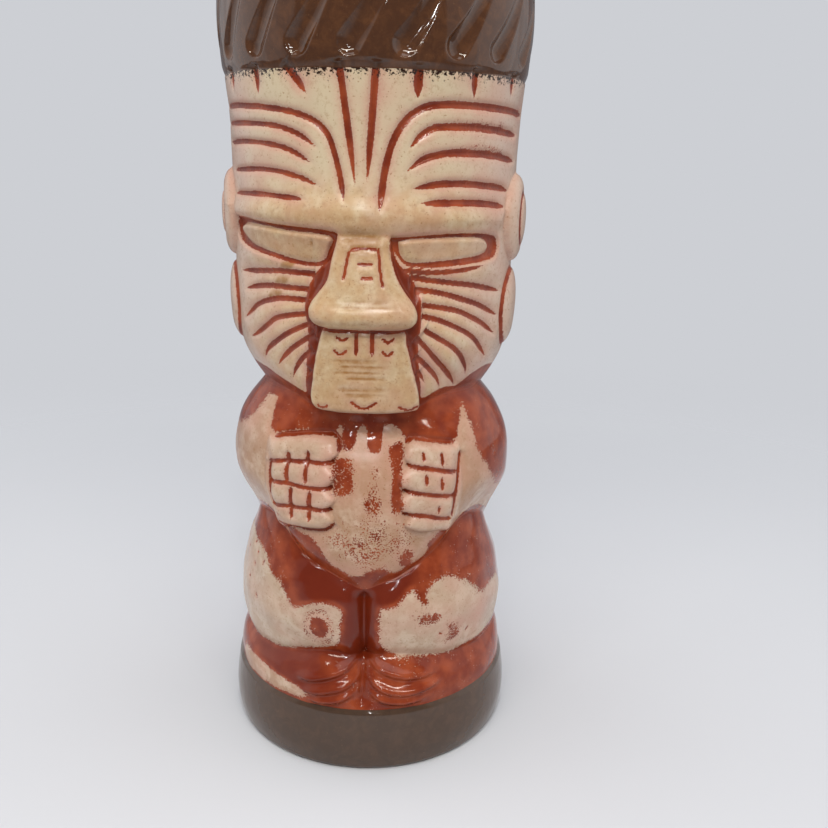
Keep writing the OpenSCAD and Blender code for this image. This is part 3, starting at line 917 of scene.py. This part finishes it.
def ring_piece(part, zones, node, bore_step=3.2):
    """A wall of the cup: skin outside, the bore inside, and a step down wherever a feature lies on it."""
    first, last = cells(zones[0]).start, cells(zones[-1]).stop
    own = LABEL[first:last] == part
    skin, _, walls = patch_faces(own, first)
    rows, columns = np.nonzero(~own)
    base = cell_faces(UNDER_ID, rows + first, columns)
    low, high = Z[first], Z[last]
    count = max(2, int(np.ceil((high - low).max() / (bore_step * COARSE))))
    heights = [low + (high - low) * i / count for i in range(count + 1)]
    inner = np.concatenate([polar(spline(height, BORE), height) for height in heights])
    inner_id = FIRST_INNER + np.arange(len(inner)).reshape(count + 1, COLUMNS)
    bore = np.concatenate([quads_between(a, b)[:, ::-1] for a, b in zip(inner_id, inner_id[1:])])
    bottom = quads_between(inner_id[0], UNDER_ID[first])
    top = quads_between(UNDER_ID[last], inner_id[-1])
    groups = [(skin, "skin", 0), (base, "flat", 0), (walls, "flat", 0), (bore, "smooth", 1),
              (bottom, "flat", 0), (top, "flat", 0)]
    make_piece(part, all_points(inner), groups, [FIGURE, INSIDE_GLAZE], node)


def turned_piece(part, zone, rounds_after, node, glaze, inside_from):
    """A plain ring: the zone's skin, then more rounds over and down the inside, closed underneath.

    inside_from says how many rounds after the skin the inside's glaze starts.
    """
    first, last = cells(zone).start, cells(zone).stop
    extra = np.concatenate(rounds_after)
    extra_id = FIRST_INNER + np.arange(len(extra)).reshape(-1, COLUMNS)
    ids = [TOP_ID[i] for i in range(first, last + 1)] + list(extra_id)
    edge = last - first
    quads = [quads_between(a, b) for a, b in zip(ids, ids[1:])]
    turn = edge + inside_from
    outer, crest, bore = (np.concatenate(q) for q in (quads[:edge], quads[edge:turn], quads[turn:]))
    closing = quads_between(ids[-1], ids[0])
    groups = [(outer, "skin", 0), (crest, "smooth", 0), (bore, "smooth", 1), (closing, "flat", 0)]
    make_piece(part, all_points(extra), groups, [glaze, INSIDE_GLAZE], node)


# ---------------- materials
def linear(red, green, blue):
    """A colour given as screen values from 0 to 255."""
    return [((c / 255 + 0.055) / 1.055) ** 2.4 for c in (red, green, blue)] + [1]


class Nodes:
    """Short ways to build a material's nodes."""

    def __init__(self, name):
        self.material = bpy.data.materials.new(name)
        self.material.use_nodes = True
        self.tree = self.material.node_tree
        self.shader = self.tree.nodes["Principled BSDF"]
        self.place = self.add("ShaderNodeTexCoord").outputs["Object"]

    def fill(self, socket, value):
        """Gives a socket a number, a colour or another node's output."""
        if isinstance(value, bpy.types.NodeSocket):
            self.tree.links.new(value, socket)
        else:
            socket.default_value = value

    def add(self, kind, inputs=None, **settings):
        node = self.tree.nodes.new(kind)
        for key, value in settings.items():
            setattr(node, key, value)
        for key, value in (inputs or {}).items():
            self.fill(node.inputs[key], value)
        return node

    def finished(self, inputs):
        """The material, with these inputs of its shader filled."""
        for key, value in inputs.items():
            self.fill(self.shader.inputs[key], value)
        return self.material

    def split_place(self):
        """The place's X, Y and Z."""
        return self.add("ShaderNodeSeparateXYZ", {0: self.place}).outputs

    def noise(self, grain_mm, detail=2.0, roughness=0.55, distortion=0.0):
        """Noise whose blobs are about this many millimetres across."""
        inputs = {"Vector": self.place, "Scale": 1 / (grain_mm * MM), "Detail": detail,
                  "Roughness": roughness, "Distortion": distortion}
        return self.add("ShaderNodeTexNoise", inputs).outputs["Fac"]

    def ramp(self, value, low, high, to_low=0.0, to_high=1.0):
        """A number that goes smoothly from to_low to to_high while the value goes from low to high."""
        inputs = {"Value": value, "From Min": low, "From Max": high, "To Min": to_low, "To Max": to_high}
        return self.add("ShaderNodeMapRange", inputs, interpolation_type="SMOOTHSTEP").outputs["Result"]

    def between(self, share, at_0, at_1):
        """A number on the straight line from at_0 to at_1."""
        inputs = {"Value": share, "To Min": at_0, "To Max": at_1}
        return self.add("ShaderNodeMapRange", inputs).outputs["Result"]

    def math(self, operation, a, b, clamp=False):
        return self.add("ShaderNodeMath", {0: a, 1: b}, operation=operation, use_clamp=clamp).outputs[0]

    def times(self, a, b, clamp=False):
        return self.math("MULTIPLY", a, b, clamp)

    def swing(self, noise, amount):
        """Noise that goes to both sides of 0, half this amount each way."""
        return self.times(self.math("SUBTRACT", noise, 0.5), amount)

    def mix(self, factor, a, b):
        return self.add("ShaderNodeMix", {"Factor": factor, 6: a, 7: b}, data_type="RGBA").outputs[2]

    def bump(self, height, distance_mm, under=None):
        inputs = {"Strength": 1, "Distance": distance_mm * MM, "Height": height}
        if under is not None:
            inputs["Normal"] = under
        return self.add("ShaderNodeBump", inputs).outputs["Normal"]


CREAM = linear(203, 172, 132)
CREAM_PALE = linear(216, 196, 162)
# Paler cream for the painted sheen up the forehead
TOP_SHEEN_CREAM = linear(205, 189, 159)
THICK_CREAM = linear(202, 186, 164)
# Cream tinted by the side panels' painted reflection
SIDE_REFLECTION_CREAM = linear(200, 172, 158)
CREAM_PINK = linear(198, 152, 132)
BODY_CREAM = linear(176, 138, 114)
BODY_PALE = linear(206, 180, 160)
AGED_AND_SHADED_CREAM = linear(158, 114, 68)
STAIN = linear(150, 106, 68)
RUST_BRIGHT = linear(156, 71, 38)
RUST_DEEP = linear(122, 44, 20)
RUST_POOLED_AND_SHADED = linear(106, 34, 14)
EDGE_BROWN = linear(44, 24, 14)


def figure_glaze():
    """Cream glaze rubbed over rust: rust where it was wiped away, speckled where the two meet; painted shade,
    a painted reflection round the sides and a painted sheen up the forehead are mixed into its colour.
    """
    n = Nodes("cream_over_rust_glaze_with_painted_light")
    rust, blush, aged_and_shade = (n.add("ShaderNodeAttribute", attribute_name=mask).outputs["Fac"]
                         for mask in ("rust", "blush", "aged_and_shade"))
    place = n.split_place()
    speckle = n.noise(0.38, 2, 0.6)
    patchy = n.noise(3.2, 3, 0.6)
    broad = n.noise(11, 2, 0.5)
    z = place["Z"]
    # 0 on the face, 1 round the sides; 0 on the head, 1 on the body
    beside = n.ramp(place["Y"], -29 * MM, -16 * MM)
    body = n.ramp(z, (NECK_Z + 3) * MM, (NECK_Z - 1) * MM)
    ragged = n.math("ADD", rust, n.swing(speckle, n.ramp(body, 0, 1, 0.8, 1.9)))
    ragged = n.math("ADD", ragged, n.swing(patchy, n.ramp(body, 0, 1, 0.4, 1)))
    shows = n.ramp(ragged, 0.46, 0.6)
    cream = n.mix(n.ramp(patchy, 0.35, 0.7), CREAM, CREAM_PALE)
    # Painted sheen: the cream turns paler up the forehead
    cream = n.mix(n.ramp(z, 132 * MM, 141 * MM, 0, 0.9), cream, TOP_SHEEN_CREAM)
    # Painted reflection: round the sides the cream turns the pinkish grey of the side panels' reflection
    cream = n.mix(n.times(beside, 0.75), cream, SIDE_REFLECTION_CREAM)
    body_cream = n.mix(n.ramp(n.noise(5, 4, 0.65, 0.5), 0.4, 0.66), BODY_CREAM, BODY_PALE)
    cream = n.mix(n.times(body, 0.85), cream, body_cream)
    cream = n.mix(n.ramp(aged_and_shade, 0, -1.2), cream, THICK_CREAM)
    cream = n.mix(n.ramp(n.noise(1.3, 4, 0.75), 0.5, 0.72, 0, 0.4), cream, STAIN)
    rubbed = n.times(blush, n.ramp(speckle, 0.3, 0.62, 0.5, 1))
    pinkness = n.math("ADD", n.ramp(broad, 0.42, 0.7, 0, 0.45), rubbed, clamp=True)
    cream = n.mix(pinkness, cream, CREAM_PINK)
    specks = n.ramp(n.noise(0.5, 1, 0.5), 0.68, 0.75, 0, 0.6)
    cream = n.mix(specks, cream, STAIN)
    # Cream darkened by age, and by painted shade between the brow and the nose
    darkened = n.times(aged_and_shade, n.ramp(n.noise(2, 3, 0.7), 0.3, 0.65, 0.5, 1), clamp=True)
    cream = n.mix(darkened, cream, AGED_AND_SHADED_CREAM)
    deep = n.mix(n.ramp(n.noise(4, 3, 0.5), 0.3, 0.75), RUST_DEEP, RUST_BRIGHT)
    # Rust past 1 turns deeper: glaze pooled in the grooves, and painted shade between the legs, along the
    # ankles, on the left foot and beside the nose
    deep = n.mix(n.ramp(rust, 0.95, 1.6), deep, RUST_POOLED_AND_SHADED)
    skin = n.mix(shows, cream, deep)
    # The rim's brown glaze breaks into specks where it ends
    level = n.math("ADD", z, n.swing(n.noise(0.7, 3, 0.75), 12 * MM))
    browned = n.ramp(level, (BAND_Z - 0.6) * MM, (BAND_Z - 0.1) * MM)
    skin = n.mix(browned, skin, EDGE_BROWN)
    face_roughness = n.ramp(beside, 0, 0.6, 0.14, 0.42)
    rust_roughness = n.between(body, face_roughness, 0.09)
    roughness = n.between(shows, 0.25, rust_roughness)
    waves = n.bump(n.noise(4.5, 1, 0.4), 0.06)
    grain = n.bump(n.noise(0.8, 2, 0.5), 0.009, waves)
    wiped = n.bump(shows, -0.03, grain)
    pooled = n.times(n.times(shows, n.math("SUBTRACT", 1, body)), n.noise(0.7, 1, 0.5))
    return n.finished({"Base Color": skin, "Roughness": roughness, "Normal": n.bump(pooled, 0.1, wiped),
                       "IOR": 1.45, "Specular IOR Level": 0.4})


def brown_glaze(name, dark, light, dimple_mm, dimple_depth):
    """Glossy brown glaze, mottled and slightly dimpled."""
    n = Nodes(name)
    mottle = n.noise(2.6, 4, 0.65, 0.6)
    fleck = n.noise(0.6, 2, 0.6)
    colour = n.mix(n.ramp(mottle, 0.38, 0.72), dark, light)
    colour = n.mix(n.ramp(fleck, 0.66, 0.78, 0, 0.35), colour, linear(130, 96, 64))
    waves = n.bump(n.noise(dimple_mm, 1, 0.4), dimple_depth)
    return n.finished({"Base Color": colour, "Roughness": n.ramp(mottle, 0.3, 0.8, 0.07, 0.11),
                       "Normal": n.bump(n.noise(0.9, 1, 0.4), 0.008, waves), "IOR": 1.55})


def bare_clay():
    """Unglazed underside and the glazed floor of the cup, parted by height."""
    n = Nodes("clay_and_floor_glaze")
    glazed = n.ramp(n.split_place()["Z"], (FLOOR_Z - 1.5) * MM, (FLOOR_Z - 0.5) * MM)
    clay = n.mix(n.noise(1.4, 4, 0.6), linear(214, 204, 188), linear(190, 176, 158))
    return n.finished({"Base Color": n.mix(glazed, clay, linear(70, 42, 22)),
                       "Roughness": n.ramp(glazed, 0, 1, 0.85, 0.1),
                       "Normal": n.bump(n.noise(0.5, 4, 0.6), 0.03)})


FIGURE = figure_glaze()
RIM_GLAZE = brown_glaze("brown_rim_glaze", linear(72, 41, 19), linear(90, 54, 27), 5, 0.07)
PLINTH_GLAZE = brown_glaze("olive_brown_plinth_glaze", linear(70, 51, 37), linear(80, 58, 42), 3.5, 0.09)
INSIDE_GLAZE = brown_glaze("brown_inside_glaze", linear(64, 38, 20), linear(84, 54, 30), 6, 0.08)

# ---------------- the pieces
# The lip is a half round that starts where the band's skin ends
LIP_MIDDLE = BAND_R - 0.2 - LIP_R
lip = [polar(LIP_MIDDLE + LIP_R * math.cos(a), LIP_Z + LIP_R * math.sin(a))
       for a in np.linspace(0, math.pi, 13)[1:]]
down = [polar(spline(z, BORE), z) for z in np.linspace(LIP_Z, BAND_Z, 9)[1:]]
turned_piece("rim", "band", lip + down, "rim_band", RIM_GLAZE, 9)
cup_r = PLINTH_R - WALL
plinth_inside = [polar(r, z) for r, z in (
    (30, PLINTH_Z), (26.3, PLINTH_Z), (28.4, PLINTH_Z - 2), (cup_r, PLINTH_Z - 4), (cup_r, FLOOR_Z),
    (cup_r, 0))]
turned_piece("plinth", "plinth", plinth_inside, "base_plinth", PLINTH_GLAZE, 2)
ring_piece("seat", ("feet", "legs"), "legs_wall")
ring_piece("torso", ("torso",), "torso_wall")
ring_piece("head", ("head",), "head_wall", 4.6)
for side in ("left", "right"):
    for part in ("foot", "leg", "arm", "hand", "eye", "ear"):
        relief_piece(f"{side}_{part}", f"{side}_{part}")
for part, node in (("plate", "mouth_plate"), ("nose", "nose"), ("brow", "brow_ridge")):
    relief_piece(part, node)

floor_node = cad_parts["cup_floor"]
floor_node.data.materials.clear()
floor_node.data.materials.append(bare_clay())


# ---------------- stage, light and camera
def stage_floor():
    """A pale floor that fades into the backdrop a little way round the mug."""
    mesh = bpy.data.meshes.new("studio_floor")
    size = 2.0
    corners = [(-size, -size, 0), (size, -size, 0), (size, size, 0), (-size, size, 0)]
    mesh.from_pydata(corners, [], [(0, 1, 2, 3)])
    floor = bpy.data.objects.new("studio_floor", mesh)
    bpy.context.scene.collection.objects.link(floor)
    n = Nodes("pale_floor")
    distance = n.add("ShaderNodeVectorMath", {0: n.place}, operation="LENGTH")
    faded = n.ramp(distance.outputs["Value"], 0.08, 0.45, 1, 0)
    mesh.materials.append(n.finished({"Base Color": linear(212, 214, 219), "Roughness": 0.6,
                                      "Specular IOR Level": 0.2, "Alpha": faded}))


def world_light():
    """The camera sees a pale backdrop; the mug is lit by a dimmer room, so the panels shape it."""
    world = bpy.data.worlds.new("studio")
    bpy.context.scene.world = world
    world.use_nodes = True
    nodes, links = world.node_tree.nodes, world.node_tree.links
    room, backdrop = nodes["Background"], nodes.new("ShaderNodeBackground")
    for node, colour, strength in ((room, linear(225, 228, 236), 0.3), (backdrop, linear(205, 207, 212), 1)):
        node.inputs["Color"].default_value = colour
        node.inputs["Strength"].default_value = strength
    pick = nodes.new("ShaderNodeMixShader")
    links.new(nodes.new("ShaderNodeLightPath").outputs["Is Camera Ray"], pick.inputs[0])
    links.new(room.outputs[0], pick.inputs[1])
    links.new(backdrop.outputs[0], pick.inputs[2])
    links.new(pick.outputs[0], nodes["World Output"].inputs[0])


def panel(name, place, target, width, height, power, colour=(1, 1, 1)):
    """A soft light panel that shines from place towards target and isn't seen itself."""
    light = bpy.data.lights.new(name, "AREA")
    light.shape = "RECTANGLE"
    light.size = width
    light.size_y = height
    light.energy = power
    light.color = colour
    lamp = bpy.data.objects.new(name, light)
    lamp.location = place
    lamp.rotation_euler = (Vector(target) - Vector(place)).to_track_quat("-Z", "Y").to_euler()
    lamp.visible_camera = False
    bpy.context.scene.collection.objects.link(lamp)


def lights():
    middle = (0, 0, 0.09)
    for side, name in ((-1, "left"), (1, "right")):
        for number, width in enumerate((0.5, 0.8, 1.1)):
            panel(f"{name}_wall_{number}", (side * 0.55, 0.12, 0.25), (0, 0.12, 0.09), width, 0.6, 0.7)
    panel("roof", (0, 0, 0.8), middle, 0.8, 0.6, 2.55)
    panel("warm_strip", (0, -0.42, 0.54), middle, 0.7, 0.022, 1.8, (1, 0.93, 0.82))
    panel("spark_high", (0.03, -0.3, 0.5), middle, 0.04, 0.018, 0.45)
    panel("spark_middle", (-0.04, -0.5, 0.4), middle, 0.12, 0.012, 0.4)
    panel("spark_low", (0.03, -0.5, 0.25), middle, 0.016, 0.016, 0.06)


def camera():
    """The view: close, from above the brow, turned a little to the right."""
    distance, height, focal = 0.2188, 0.1425, 39.13
    azimuth, yaw, pitch, roll = (math.radians(a) for a in (4.6, 2.7, 16.2, 1.25))
    data = bpy.data.cameras.new("studio_camera")
    data.sensor_width = 36
    data.lens = focal
    data.clip_start = 0.01
    place = Vector((distance * math.sin(azimuth), -distance * math.cos(azimuth), height))
    turned = (Matrix.Rotation(azimuth - yaw, 4, "Z") @ Matrix.Rotation(math.pi / 2 - pitch, 4, "X")
              @ Matrix.Rotation(roll, 4, "Z"))
    eye = bpy.data.objects.new("studio_camera", data)
    eye.matrix_world = Matrix.Translation(place) @ turned
    bpy.context.scene.collection.objects.link(eye)
    bpy.context.scene.camera = eye


bpy.context.scene.view_settings.view_transform = "Standard"
stage_floor()
world_light()
lights()
camera()
